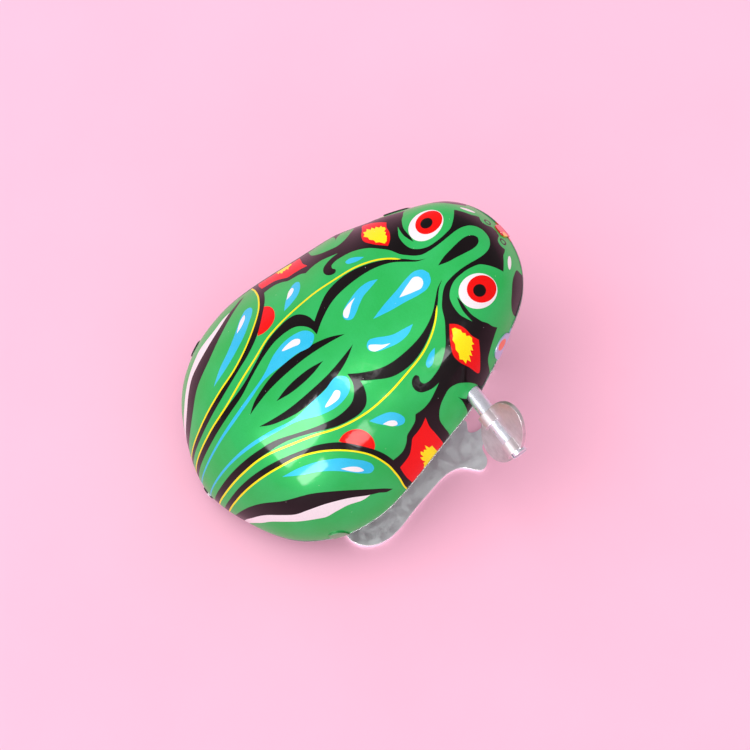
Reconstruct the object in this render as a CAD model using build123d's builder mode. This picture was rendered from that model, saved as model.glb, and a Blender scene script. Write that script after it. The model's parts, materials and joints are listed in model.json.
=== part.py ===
"""Tin wind-up jumping frog.

A pressed tin back and a tabbed base plate enclose a small spring motor. The motor turns a
two-lobed cam, the cam strikes the hind-leg stamping, and the frog hops.

The row frame has +X forwards, +Y to the frog's left and +Z up, with the ground at Z = 0 and
the origin under the middle of the hind-leg web. The body is pitched nose-up, so most pieces
are drawn in a body frame: x along the rim from tail to nose, y left, z square to the rim.
"""

from build123d import *
import os
from math import acos, copysign, cos, degrees, pi, radians, sin, tan

# ---- driving dimensions, mm and degrees -------------------------------------------------

BODY_LENGTH = 75.0
PITCH = 27.0
TAIL_X = -16.0
TAIL_Z = 3.0
TIN = 0.3
SLIDE_GAP = 0.02          # between pieces that are pressed or riveted together
RUN_GAP = 0.05            # radial clearance of every turning fit

# rim radius about the body's middle, every RIM_STEP degrees from nose to tail
RIM_STEP = 15
RIM_RADII = [37.5, 35.8, 30.0, 25.8, 23.8, 22.5, 22.8, 24.7, 28.1, 31.7, 34.7, 36.2, 37.5]

# height of the dome on its centre line, every CREST_STEP mm from tail to nose
CREST_STEP = 15.0
CREST_HEIGHTS = [20.0, 22.1, 19.4, 17.6, 16.8, 19.0]

# the dome falls to the rim as (1 - rho^2)^fall, and fall varies around the body
FALL_MEAN = 0.59
FALL_FORE_AFT = -0.109
FALL_SIDES = -0.185

# the dome is lofted through rings at these reaches, 0 at the crown and 1 at the rim
RING_REACHES = [1.0, 0.97, 0.92, 0.85, 0.76, 0.65, 0.53, 0.4, 0.27, 0.15, 0.06]
RING_POINTS = 48
SKIRT_FLOOR = -1.6

# folded tabs: place on the rim and width
TAB_HEIGHT = 3.0
TABS = [
    ((75.0, 0.0), 2.8), ((61.8, 15.2), 4.6), ((61.8, -15.2), 4.6),
    ((15.1, 22.5), 2.8), ((15.1, -22.5), 2.8), ((0.0, 0.0), 2.6),
]

# motor
PLATE_THICKNESS = 0.8
PLATE_INNER_Y = 7.2
PLATE_OUTER_Y = PLATE_INNER_Y + PLATE_THICKNESS
MAIN_AXIS = (52.2, 1.7)
GEAR_MODULE = 0.5
PRESSURE_ANGLE = 20.0
GEAR_BACKLASH = 0.05
MAIN_TEETH = 40
SECOND_TEETH = 30
PINION_TEETH = 10
WHEEL_ADDENDUM = 0.30
PINION_ADDENDUM = 0.42
SECOND_BEARING = 160.0    # direction from the main axis to the second axis
THIRD_BEARING = 210.0     # direction from the second axis to the third axis
KEY_SHAFT_RADIUS = 1.5
NOTCH_RADIUS = 1.8        # slot in the pressed back for the key shaft
TRAIN_SHAFT_RADIUS = 0.75
WHEEL_THICKNESS = 0.8
MAIN_WHEEL_Y = -6.2       # middle of the main wheel
SECOND_WHEEL_Y = 5.0      # middle of the second wheel
PINION_WIDTH = 1.6
RATCHET_TEETH = 12
RATCHET_RADIUS = 4.0
RATCHET_Y = -5.3
SPRING_Y = -0.55          # middle of the mainspring's width
SPRING_WIDTH = 7.0
SPRING_STRIP = 0.3
SPRING_INNER = 1.75
SPRING_OUTER = 9.0
SPRING_TURNS = 9
MAIN_WINDOW_REACH = 5.9   # lightening holes in the main wheel
MAIN_WINDOW_RADIUS = 2.1
SECOND_WINDOW_REACH = 4.4  # lightening holes in the second wheel
SECOND_WINDOW_RADIUS = 1.7
CAM_RADIUS = 5.0
CAM_THICKNESS = 2.0
CAM_HUB_RADIUS = 2.2
CAM_NOSE_RADIUS = 0.8

PILLAR_RADIUS = 1.25
PILLAR_TENON = 0.8
PILLARS = [(64.4, 1.7), (45.5, -10.0), (21.0, 9.0)]
PLATE_FLANGES = [(24.5, 5.0), (58.5, 5.0)]
FLANGE_REACH = 3.6

# key
KEY_SHAFT_END = -33.2
BLADE_Y = -28.1
BLADE_LENGTH = 9.6        # along the shaft
BLADE_SPAN = 19.0         # across the shaft
BLADE_THICKNESS = 0.7
BLADE_TILT = 74.0         # from level, about the shaft
STRAP_THICKNESS = 0.7

# legs
LEG_TIN = 0.6
PIVOT = (10.0, -3.2)
ROD_RADIUS = 1.0
EAR_Y = 8.6               # inner face of each ear on the hind-leg stamping

MIDDLE_X = BODY_LENGTH / 2

# ---- frames -----------------------------------------------------------------------------

FORWARD = (cos(radians(PITCH)), 0, sin(radians(PITCH)))
UPRIGHT = (-sin(radians(PITCH)), 0, cos(radians(PITCH)))
body = Plane(origin=(TAIL_X, 0, TAIL_Z), x_dir=FORWARD, z_dir=UPRIGHT)


def side(y):
    """Drawing plane for profiles in body x and z. It faces the frog's right."""
    return Plane(origin=(TAIL_X, y, TAIL_Z), x_dir=FORWARD, z_dir=(0, -1, 0))


def polar(centre, radius, bearing):
    """Point at a distance and bearing from a centre."""
    angle = radians(bearing)
    return (centre[0] + radius * cos(angle), centre[1] + radius * sin(angle))


def to_row(x, z):
    """Row X and Z of a point given in body x and z."""
    point = body.from_local_coords((x, 0, z))
    return point.X, point.Z


SECOND_DISTANCE = GEAR_MODULE * (MAIN_TEETH + PINION_TEETH) / 2
THIRD_DISTANCE = GEAR_MODULE * (SECOND_TEETH + PINION_TEETH) / 2
SECOND_AXIS = polar(MAIN_AXIS, SECOND_DISTANCE, SECOND_BEARING)
THIRD_AXIS = polar(SECOND_AXIS, THIRD_DISTANCE, THIRD_BEARING)

# ---- the dome ---------------------------------------------------------------------------


def smooth(values, step, position):
    """Smooth curve through evenly spaced values."""
    last = len(values) - 1
    cell = min(max(int(position // step), 0), last - 1)
    t = position / step - cell
    before = values[max(cell - 1, 0)]
    start = values[cell]
    end = values[cell + 1]
    after = values[min(cell + 2, last)]
    leave = (end - before) / 2
    arrive = (after - start) / 2
    return (
        (2 * t**3 - 3 * t**2 + 1) * start
        + (t**3 - 2 * t**2 + t) * leave
        + (3 * t**2 - 2 * t**3) * end
        + (t**3 - t**2) * arrive
    )


def rim_radius(bearing):
    """Distance from the body's middle to the rim."""
    return smooth(RIM_RADII, RIM_STEP, abs((bearing + 180) % 360 - 180))


def dome_point(reach, bearing, grow):
    """Row-frame point on the dome: reach is 0 at the crown and 1 at the rim."""
    angle = radians(bearing)
    rho = sin(pi / 2 * reach)
    drop = cos(pi / 2 * reach)
    fall = FALL_MEAN + FALL_FORE_AFT * cos(angle) + FALL_SIDES * cos(2 * angle)
    x = MIDDLE_X + rho * (rim_radius(bearing) + grow) * cos(angle)
    y = rho * (rim_radius(bearing) + grow) * sin(angle)
    crest = smooth(CREST_HEIGHTS, CREST_STEP, min(max(x, 0), BODY_LENGTH)) + grow
    return body.from_local_coords((x, y, crest * copysign(abs(drop) ** (2 * fall), drop)))


def dome_ring(reach, grow, height=None):
    """Closed curve around the dome at one reach, or the rim curve at a height in body z."""
    points = []
    for step in range(RING_POINTS):
        point = dome_point(reach, 360 * step / RING_POINTS, grow)
        if height is not None:
            flat = body.to_local_coords(point)
            point = body.from_local_coords((flat.X, flat.Y, height))
        points.append(point)
    return Wire([Edge.make_spline(points, periodic=True)])


def dome_block(grow, floor):
    """Solid under the grown dome, from a floor height in body z up to the crown."""
    rings = [dome_ring(1, grow, SKIRT_FLOOR)]
    for reach in RING_REACHES:
        rings.append(dome_ring(reach, grow))
    crown = Vertex(*dome_point(0, 0, grow))
    with BuildPart() as block:
        add(Solid.make_loft(rings + [crown]))
        split(bisect_by=body.offset(floor), keep=Keep.TOP)
    return block.part


def rim_points(grow):
    """Points on the rim curve, grown outwards, in body x and y."""
    points = []
    for bearing in range(0, 360, 10):
        radius = rim_radius(bearing) + grow
        points.append(polar((MIDDLE_X, 0), radius, bearing))
    return points


# ---- gears ------------------------------------------------------------------------------


def involute(angle):
    """Involute function of a pressure angle in radians."""
    return tan(angle) - angle


def gear_outline(axis, teeth, addendum, dedendum, turn):
    """Corner points of a spur gear with involute flanks; a tooth points along turn degrees."""
    pitch_radius = GEAR_MODULE * teeth / 2
    base_radius = pitch_radius * cos(radians(PRESSURE_ANGLE))
    root = pitch_radius - dedendum
    tip = pitch_radius + addendum
    half_tooth = pi / (2 * teeth) - GEAR_BACKLASH / pitch_radius
    flank = []
    for radius in (root, max(root, base_radius), pitch_radius, (pitch_radius + tip) / 2, tip):
        slope = acos(min(1, base_radius / radius))
        flank.append((radius, half_tooth + involute(radians(PRESSURE_ANGLE)) - involute(slope)))
    if root >= base_radius:
        flank = flank[1:]
    points = []
    for tooth in range(teeth):
        middle = radians(turn) + 2 * pi * tooth / teeth
        for radius, half in flank:
            points.append(polar(axis, radius, degrees(middle - half)))
        for radius, half in reversed(flank):
            points.append(polar(axis, radius, degrees(middle + half)))
    return points


MAIN_TURN = SECOND_BEARING
SECOND_PINION_TURN = SECOND_BEARING + 180 + 180 / PINION_TEETH
SECOND_WHEEL_TURN = THIRD_BEARING
THIRD_PINION_TURN = THIRD_BEARING + 180 + 180 / PINION_TEETH
WHEEL_DEDENDUM = PINION_ADDENDUM + 0.15
PINION_DEDENDUM = WHEEL_ADDENDUM + 0.15
os.makedirs("parts", exist_ok=True)

# ---- pressed back -----------------------------------------------------------------------

outer_dome = dome_block(0, 0)
inner_dome = dome_block(-TIN, -1)
tab_outer = dome_block(TIN + SLIDE_GAP, -TIN)
tab_inner = dome_block(SLIDE_GAP, -1)

with BuildPart() as upper_shell:
    add(outer_dome)
    add(inner_dome, mode=Mode.SUBTRACT)
    with BuildSketch(side(-PLATE_OUTER_Y)):
        with Locations(MAIN_AXIS):
            Circle(NOTCH_RADIUS)
            Rectangle(2 * NOTCH_RADIUS, 4, align=(Align.CENTER, Align.MAX))
    extrude(amount=BODY_LENGTH / 2, mode=Mode.SUBTRACT)
upper_shell.part.label = "upper_shell"
export_step(upper_shell.part, "parts/upper_shell.step")

# ---- base plate with its six folded tabs -------------------------------------------------

OPENING = (6.5, 66.9)
OPENING_HALF = PLATE_OUTER_Y + 0.2
RIVET_RADIUS = 0.8
RIVET_HEAD_RADIUS = 1.3
RIVET_HEAD = 0.4
FLANGE_RIVET_Y = PLATE_OUTER_Y + FLANGE_REACH / 2 + 0.1
plate_rivets_at = [(x, sign * FLANGE_RIVET_Y) for x, _ in PLATE_FLANGES for sign in (-1, 1)]

with BuildPart() as tabs:
    for (tab_x, tab_y), tab_width in TABS:
        station = body.from_local_coords((tab_x, tab_y, 0))
        along = FORWARD if tab_y else (0, 1, 0)
        outwards = (0, 1, 0) if tab_y else FORWARD
        with BuildSketch(Plane(origin=station, x_dir=along, z_dir=outwards)):
            RectangleRounded(tab_width, 2 * TAB_HEIGHT, 0.45 * tab_width)
        extrude(amount=5, both=True)
    add(tab_outer, mode=Mode.INTERSECT)
    add(tab_inner, mode=Mode.SUBTRACT)

with BuildPart() as base_plate:
    with BuildSketch(body.offset(-TIN)):
        with BuildLine():
            Spline(*rim_points(TIN / 2), periodic=True)
        make_face()
        with Locations(((OPENING[0] + OPENING[1]) / 2, 0)):
            Rectangle(OPENING[1] - OPENING[0], 2 * OPENING_HALF, mode=Mode.SUBTRACT)
        with Locations(*plate_rivets_at):
            Circle(RIVET_RADIUS + SLIDE_GAP, mode=Mode.SUBTRACT)
    extrude(amount=TIN - SLIDE_GAP)
    add(tabs.part)
base_plate.part.label = "base_plate"
export_step(base_plate.part, "parts/base_plate.step")

# ---- motor frame ------------------------------------------------------------------------

PLATE_BOSSES = [(PIVOT, 3.0), (SECOND_AXIS, 2.6)] + [(pillar, 2.5) for pillar in PILLARS]
TENON_STAND = 0.4         # riveted end beyond the plate


def motor_plate(sign):
    """Side plate of the motor, with two flanges turned outwards onto the base plate."""
    top_y = max(sign * PLATE_INNER_Y, sign * PLATE_OUTER_Y)
    flange_end = sign * (PLATE_OUTER_Y + FLANGE_REACH)
    with BuildPart() as plate:
        with BuildSketch(side(top_y)) as profile:
            for centre, radius in PLATE_BOSSES:
                with Locations(centre):
                    Circle(radius)
            make_hull(profile.edges())
            with Locations(*PILLARS):
                Circle(PILLAR_TENON + SLIDE_GAP, mode=Mode.SUBTRACT)
            with Locations(PIVOT):
                Circle(ROD_RADIUS + SLIDE_GAP, mode=Mode.SUBTRACT)
            with Locations(SECOND_AXIS, THIRD_AXIS):
                Circle(TRAIN_SHAFT_RADIUS + RUN_GAP, mode=Mode.SUBTRACT)
            with Locations(MAIN_AXIS):
                Circle(KEY_SHAFT_RADIUS + RUN_GAP, mode=Mode.SUBTRACT)
        extrude(amount=PLATE_THICKNESS)
        with BuildSketch(body.offset(SLIDE_GAP)):
            for flange_x, flange_width in PLATE_FLANGES:
                with Locations((flange_x, (sign * PLATE_INNER_Y + flange_end) / 2)):
                    Rectangle(flange_width, PLATE_THICKNESS + FLANGE_REACH)
            with Locations(*plate_rivets_at):
                Circle(RIVET_RADIUS + SLIDE_GAP, mode=Mode.SUBTRACT)
        extrude(amount=PLATE_THICKNESS)
    return plate.part


for name, sign in (("motor_plate_right", -1), ("motor_plate_left", 1)):
    plate = motor_plate(sign)
    plate.label = name
    export_step(plate, f"parts/{name}.step")

with BuildPart() as frame_pillars:
    with BuildSketch(side(PLATE_INNER_Y - SLIDE_GAP)):
        with Locations(*PILLARS):
            Circle(PILLAR_RADIUS)
    extrude(amount=2 * (PLATE_INNER_Y - SLIDE_GAP))
    with BuildSketch(side(PLATE_OUTER_Y + TENON_STAND)):
        with Locations(*PILLARS):
            Circle(PILLAR_TENON)
    extrude(amount=2 * (PLATE_OUTER_Y + TENON_STAND))
frame_pillars.part.label = "frame_pillars"
export_step(frame_pillars.part, "parts/frame_pillars.step")


def rivets(points, low, high):
    """Row of rivets square to the base plate, with a head at each end."""
    with BuildPart() as row:
        with BuildSketch(body.offset(low)):
            with Locations(*points):
                Circle(RIVET_RADIUS)
        extrude(amount=high - low)
        with BuildSketch(body.offset(low - RIVET_HEAD), body.offset(high)):
            with Locations(*points):
                Circle(RIVET_HEAD_RADIUS)
        extrude(amount=RIVET_HEAD)
    return row.part


rivet_top = PLATE_THICKNESS + 2 * SLIDE_GAP
plate_rivets = rivets(plate_rivets_at[:2], -TIN - SLIDE_GAP, rivet_top)
plate_rivets.label = "plate_rivets"
export_step(plate_rivets, "parts/plate_rivets.step")

leg_rivets = rivets(plate_rivets_at[2:], -TIN - 3 * SLIDE_GAP - LEG_TIN, rivet_top)
leg_rivets.label = "leg_rivets"
export_step(leg_rivets, "parts/leg_rivets.step")

# ---- spring motor -----------------------------------------------------------------------

CLICK_RIVET_REACH = 6.6
CLICK_RIVET_RADIUS = 0.5
CLICK_RIVET_AT = polar(MAIN_AXIS, CLICK_RIVET_REACH, 75)


def disc_between(y_low, y_high, axis, radius):
    """Round bar between two distances to the frog's left."""
    with BuildPart() as bar:
        with BuildSketch(side(y_high)):
            with Locations(axis):
                Circle(radius)
        extrude(amount=y_high - y_low)
    return bar.part


def spur_gear(axis, middle_y, width, teeth, addendum, dedendum, turn, bore):
    """Spur gear of a given width about an axis, with a bore."""
    with BuildPart() as gear:
        with BuildSketch(side(middle_y + width / 2)):
            with BuildLine():
                Polyline(*gear_outline(axis, teeth, addendum, dedendum, turn), close=True)
            make_face()
            with Locations(axis):
                Circle(bore, mode=Mode.SUBTRACT)
        extrude(amount=width)
    return gear.part


with BuildPart() as main_wheel:
    add(spur_gear(MAIN_AXIS, MAIN_WHEEL_Y, WHEEL_THICKNESS, MAIN_TEETH, WHEEL_ADDENDUM,
                  WHEEL_DEDENDUM, MAIN_TURN, KEY_SHAFT_RADIUS + RUN_GAP))
    with BuildSketch(side(MAIN_WHEEL_Y + WHEEL_THICKNESS / 2)):
        with Locations(CLICK_RIVET_AT):
            Circle(CLICK_RIVET_RADIUS + SLIDE_GAP)
        for bearing in (165, 255, 345):
            with Locations(polar(MAIN_AXIS, MAIN_WINDOW_REACH, bearing)):
                Circle(MAIN_WINDOW_RADIUS)
    extrude(amount=WHEEL_THICKNESS, mode=Mode.SUBTRACT)
main_wheel.part.label = "main_wheel"
export_step(main_wheel.part, "parts/main_wheel.step")

with BuildPart() as second_wheel:
    add(spur_gear(SECOND_AXIS, SECOND_WHEEL_Y, WHEEL_THICKNESS, SECOND_TEETH, WHEEL_ADDENDUM,
                  WHEEL_DEDENDUM, SECOND_WHEEL_TURN, TRAIN_SHAFT_RADIUS + SLIDE_GAP))
    with BuildSketch(side(SECOND_WHEEL_Y + WHEEL_THICKNESS / 2)):
        for bearing in (45, 135, 225, 315):
            with Locations(polar(SECOND_AXIS, SECOND_WINDOW_REACH, bearing)):
                Circle(SECOND_WINDOW_RADIUS)
    extrude(amount=WHEEL_THICKNESS, mode=Mode.SUBTRACT)
second_wheel.part.label = "second_wheel"
export_step(second_wheel.part, "parts/second_wheel.step")

# the two train arbors run in the plates, each with its pinion cut in one piece with it
ARBOR_END_Y = PLATE_OUTER_Y + 0.5


def train_arbor(axis, pinion_y, turn):
    """Arbor with shouldered ends and an integral pinion."""
    with BuildPart() as arbor:
        add(disc_between(-ARBOR_END_Y, ARBOR_END_Y, axis, TRAIN_SHAFT_RADIUS))
        add(spur_gear(axis, pinion_y, PINION_WIDTH, PINION_TEETH, PINION_ADDENDUM,
                      PINION_DEDENDUM, turn, TRAIN_SHAFT_RADIUS))
    return arbor.part


second_arbor = train_arbor(SECOND_AXIS, MAIN_WHEEL_Y, SECOND_PINION_TURN)
second_arbor.label = "second_arbor"
export_step(second_arbor, "parts/second_arbor.step")

third_arbor = train_arbor(THIRD_AXIS, SECOND_WHEEL_Y, THIRD_PINION_TURN)
third_arbor.label = "third_arbor"
export_step(third_arbor, "parts/third_arbor.step")

with BuildPart() as kick_cam:
    with BuildSketch(side(CAM_THICKNESS / 2)) as cam_profile:
        with Locations(THIRD_AXIS):
            Circle(CAM_HUB_RADIUS)
        for bearing in (20, 200):
            with Locations(polar(THIRD_AXIS, CAM_RADIUS - CAM_NOSE_RADIUS, bearing)):
                Circle(CAM_NOSE_RADIUS)
        make_hull(cam_profile.edges())
        with Locations(THIRD_AXIS):
            Circle(TRAIN_SHAFT_RADIUS + SLIDE_GAP, mode=Mode.SUBTRACT)
    extrude(amount=CAM_THICKNESS)
kick_cam.part.label = "kick_cam"
export_step(kick_cam.part, "parts/kick_cam.step")

# winding arbor: journals in both plates, a long shaft out of the frog's right side
COLLAR_RADIUS = 2.4
COLLAR_WIDTH = 2.1
END_SLOT_WIDTH = 0.6
END_SLOT_DEPTH = 1.0
collar_end = PLATE_INNER_Y - 0.1
with BuildPart() as winding_arbor:
    add(disc_between(KEY_SHAFT_END, ARBOR_END_Y, MAIN_AXIS, KEY_SHAFT_RADIUS))
    add(disc_between(collar_end - COLLAR_WIDTH, collar_end, MAIN_AXIS, COLLAR_RADIUS))
    with BuildSketch(side(KEY_SHAFT_END + END_SLOT_DEPTH)):
        with Locations(MAIN_AXIS):
            Rectangle(END_SLOT_WIDTH, 4 * KEY_SHAFT_RADIUS, rotation=BLADE_TILT - PITCH)
    extrude(amount=END_SLOT_DEPTH, mode=Mode.SUBTRACT)
winding_arbor.part.label = "winding_arbor"
export_step(winding_arbor.part, "parts/winding_arbor.step")

RATCHET_DEPTH = 0.9
ratchet_points = []
for tooth in range(RATCHET_TEETH):
    start = 360 * tooth / RATCHET_TEETH
    ratchet_points.append(polar(MAIN_AXIS, RATCHET_RADIUS - RATCHET_DEPTH, start))
    ratchet_points.append(polar(MAIN_AXIS, RATCHET_RADIUS, start))
with BuildPart() as ratchet_wheel:
    with BuildSketch(side(RATCHET_Y + WHEEL_THICKNESS / 2)):
        with BuildLine():
            Polyline(*ratchet_points, close=True)
        make_face()
        with Locations(MAIN_AXIS):
            Circle(KEY_SHAFT_RADIUS + SLIDE_GAP, mode=Mode.SUBTRACT)
    extrude(amount=WHEEL_THICKNESS)
ratchet_wheel.part.label = "ratchet_wheel"
export_step(ratchet_wheel.part, "parts/ratchet_wheel.step")

# click: a leaf of spring steel riveted to the main wheel, its nose just off the ratchet
CLICK_WIDTH = 0.6
CLICK_EYE_RADIUS = 1.3
with BuildPart() as click_spring:
    with BuildSketch(side(RATCHET_Y + WHEEL_THICKNESS / 2)):
        with BuildLine() as leaf:
            Spline(CLICK_RIVET_AT, polar(MAIN_AXIS, 6.2, 45), polar(MAIN_AXIS, 4.45, 12))
        trace(leaf.edges(), CLICK_WIDTH)
        with Locations(CLICK_RIVET_AT):
            Circle(CLICK_EYE_RADIUS)
            Circle(CLICK_RIVET_RADIUS + SLIDE_GAP, mode=Mode.SUBTRACT)
    extrude(amount=WHEEL_THICKNESS - 0.1)
click_spring.part.label = "click_spring"
export_step(click_spring.part, "parts/click_spring.step")

CLICK_RIVET_TOP = RATCHET_Y + WHEEL_THICKNESS / 2
WHEEL_FACE = MAIN_WHEEL_Y - WHEEL_THICKNESS / 2
CLICK_HEAD = 0.3
CLICK_HEAD_RADIUS = 1.0
low_head = WHEEL_FACE - SLIDE_GAP
high_head = CLICK_RIVET_TOP + SLIDE_GAP
with BuildPart() as click_rivet:
    add(disc_between(low_head - CLICK_HEAD, high_head + CLICK_HEAD, CLICK_RIVET_AT, CLICK_RIVET_RADIUS))
    add(disc_between(high_head, high_head + CLICK_HEAD, CLICK_RIVET_AT, CLICK_HEAD_RADIUS))
    add(disc_between(low_head - CLICK_HEAD, low_head, CLICK_RIVET_AT, CLICK_HEAD_RADIUS))
click_rivet.part.label = "click_rivet"
export_step(click_rivet.part, "parts/click_rivet.step")

# mainspring: an even spiral whose outer end loops round the front pillar
spiral = []
SPIRAL_STEPS = 8
for step in range(SPRING_TURNS * SPIRAL_STEPS + 1):
    radius = SPRING_INNER + (SPRING_OUTER - SPRING_INNER) * step / (SPRING_TURNS * SPIRAL_STEPS)
    spiral.append(polar(MAIN_AXIS, radius, -20 + 360 * step / SPIRAL_STEPS))
LOOP_RADIUS = PILLAR_RADIUS + SLIDE_GAP + SPRING_STRIP / 2
with BuildPart() as mainspring:
    with BuildSketch(side(SPRING_Y + SPRING_WIDTH / 2)):
        with BuildLine() as coil:
            Spline(*spiral)
            Line(spiral[-1], polar(PILLARS[0], LOOP_RADIUS, -125))
        trace(coil.edges(), SPRING_STRIP)
        with Locations(PILLARS[0]):
            Circle(LOOP_RADIUS + SPRING_STRIP / 2)
            Circle(LOOP_RADIUS - SPRING_STRIP / 2, mode=Mode.SUBTRACT)
    extrude(amount=SPRING_WIDTH)
mainspring.part.label = "mainspring"
export_step(mainspring.part, "parts/mainspring.step")

# ---- key --------------------------------------------------------------------------------

BLADE_BEARING = BLADE_TILT - PITCH
STRAP_INNER = KEY_SHAFT_RADIUS + SLIDE_GAP
STRAP_OUTER = STRAP_INNER + STRAP_THICKNESS
STRAP_LENGTH = 2.3
STRAP_INSET = 0.3
key_x, key_z = to_row(*MAIN_AXIS)
key_face = Plane(
    origin=(key_x, BLADE_Y, key_z),
    x_dir=(0, -1, 0),
    z_dir=(-sin(radians(BLADE_TILT)), 0, cos(radians(BLADE_TILT))),
)
FRONT, BACK = Align.MAX, Align.MIN
strap_ends = BLADE_LENGTH / 2 - STRAP_INSET
straps = [
    (BLADE_Y + strap_ends, BLADE_Y + strap_ends - STRAP_LENGTH, FRONT),
    (BLADE_Y + strap_ends - STRAP_LENGTH, BLADE_Y - strap_ends + STRAP_LENGTH, BACK),
    (BLADE_Y - strap_ends + STRAP_LENGTH, BLADE_Y - strap_ends, FRONT),
]

with BuildPart() as key_blade:
    with BuildSketch(key_face.offset(-BLADE_THICKNESS / 2)):
        Ellipse(BLADE_LENGTH / 2, BLADE_SPAN / 2)
        Rectangle(2 * BLADE_LENGTH, 2 * STRAP_INNER, mode=Mode.SUBTRACT)
    extrude(amount=BLADE_THICKNESS)
    for y_high, y_low, face in straps:
        with BuildSketch(side(y_high)):
            with Locations(MAIN_AXIS):
                Circle(STRAP_OUTER)
                Circle(STRAP_INNER, mode=Mode.SUBTRACT)
                Rectangle(2 * STRAP_OUTER + 1, STRAP_OUTER + 1, rotation=BLADE_BEARING,
                          align=(Align.CENTER, face), mode=Mode.SUBTRACT)
        extrude(amount=y_high - y_low)
key_blade.part.label = "key_blade"
export_step(key_blade.part, "parts/key_blade.step")

# ---- legs -------------------------------------------------------------------------------

pivot_x, pivot_z = to_row(*PIVOT)
cam_x, cam_z = to_row(*THIRD_AXIS)
spring_x, spring_z = to_row(*PILLARS[2])

ROD_HEAD = 0.5
ROD_HEAD_RADIUS = 1.7
rod_end = EAR_Y + LEG_TIN + 0.1
with BuildPart() as leg_pivot_rod:
    add(disc_between(-rod_end, rod_end, PIVOT, ROD_RADIUS))
    for end in (rod_end, -rod_end - ROD_HEAD):
        add(disc_between(end, end + ROD_HEAD, PIVOT, ROD_HEAD_RADIUS))
leg_pivot_rod.part.label = "leg_pivot_rod"
export_step(leg_pivot_rod.part, "parts/leg_pivot_rod.step")

# right foot seen from above, row X and Y: heel, outer edge, three toes, inner edge
HIND_FOOT = [
    (-0.5, -21.0), (0.4, -24.0), (3.1, -25.9), (7.0, -26.2), (12.0, -24.9), (18.1, -23.4),
    (22.5, -22.9), (25.2, -24.1), (27.6, -26.2), (29.3, -25.2), (29.9, -22.9), (32.2, -21.9),
    (34.8, -21.4), (34.6, -19.8), (31.2, -19.6), (29.8, -18.8), (30.6, -16.9), (29.4, -15.6),
    (24.0, -14.6), (14.0, -14.2), (6.0, -13.4), (0.5, -14.5),
]
WEB = (-6.4, 8.0)
WEB_HALF = 15.5
TONGUE_HALF = 3.0
LUG_GAP = 0.15
lug_top = cam_z - CAM_RADIUS - LUG_GAP
PAD_LENGTH = 3.6
EAR_RADIUS = 2.2
EAR_ROOT = (-6.0, -0.6)   # the ear's stem along row X
SPRING_HOLE = 0.5

with BuildPart() as hind_legs:
    with BuildSketch():
        with BuildLine():
            Spline(*HIND_FOOT, periodic=True)
        make_face()
        mirror(about=Plane.XZ)
        with Locations(((WEB[0] + WEB[1]) / 2, 0)):
            RectangleRounded(WEB[1] - WEB[0], 2 * WEB_HALF, 1.5)
        with Locations(((WEB[1] + cam_x) / 2, 0)):
            Rectangle(cam_x - WEB[1] + LEG_TIN, 2 * TONGUE_HALF)
        with Locations((spring_x, 0)):
            Circle(SPRING_HOLE, mode=Mode.SUBTRACT)
    extrude(amount=LEG_TIN)
    with BuildSketch(Plane.YZ.offset(cam_x - LEG_TIN / 2)):
        Rectangle(2 * TONGUE_HALF, lug_top, align=(Align.CENTER, Align.MIN))
    extrude(amount=LEG_TIN)
    with BuildSketch(Plane.XY.offset(lug_top - LEG_TIN)):
        with Locations((cam_x, 0)):
            RectangleRounded(PAD_LENGTH, 2 * TONGUE_HALF, 0.6)
    extrude(amount=LEG_TIN)
    for ear_y in (EAR_Y + LEG_TIN, -EAR_Y):
        with BuildSketch(Plane.XZ.offset(-ear_y)):
            with Locations((pivot_x, pivot_z)):
                Circle(EAR_RADIUS)
            with Locations((EAR_ROOT[0], 0)):
                Rectangle(EAR_ROOT[1] - EAR_ROOT[0], pivot_z, align=(Align.MIN, Align.MIN))
            with Locations((pivot_x, pivot_z)):
                Circle(ROD_RADIUS + RUN_GAP, mode=Mode.SUBTRACT)
        extrude(amount=LEG_TIN)
hind_legs.part.label = "hind_legs"
export_step(hind_legs.part, "parts/hind_legs.step")

# extension spring from the rear pillar down to the web of the hind legs
WIRE = 0.25
COIL_RADIUS = 1.3
COIL_PITCH = 0.8
COIL_LOW = 4.0
COIL_HIGH = spring_z - PILLAR_RADIUS - 2.0
LEAD = 0.6                # height in which the wire comes in from the coil to its axis
TAIL_HEIGHT = 0.15        # lower end of the wire, in its hole in the web
with BuildPart() as leg_return_spring:
    with BuildLine() as coil_line:
        Helix(COIL_PITCH, COIL_HIGH - COIL_LOW, COIL_RADIUS, center=(spring_x, 0, COIL_LOW))
    with BuildSketch(Plane(origin=coil_line.line @ 0, z_dir=coil_line.line % 0)):
        Circle(WIRE)
    sweep(path=coil_line.line)
    coil_end = coil_line.line @ 1
    hook_gap = PILLAR_RADIUS + WIRE + 0.05
    with BuildLine() as lower_wire:
        Polyline(
            (spring_x + COIL_RADIUS, 0, COIL_LOW),
            (spring_x, 0, COIL_LOW - LEAD),
            (spring_x, 0, TAIL_HEIGHT),
        )
    with BuildSketch(Plane(origin=lower_wire.line @ 0, z_dir=lower_wire.line % 0)):
        Circle(WIRE)
    sweep(path=lower_wire.line, transition=Transition.ROUND)
    with BuildLine() as upper_wire:
        Polyline(coil_end, (spring_x, 0, COIL_HIGH + LEAD), (spring_x, 0, spring_z - hook_gap))
    with BuildSketch(Plane(origin=upper_wire.line @ 0, z_dir=upper_wire.line % 0)):
        Circle(WIRE)
    sweep(path=upper_wire.line, transition=Transition.ROUND)
leg_return_spring.part.label = "leg_return_spring"
export_step(leg_return_spring.part, "parts/leg_return_spring.step")

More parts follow.
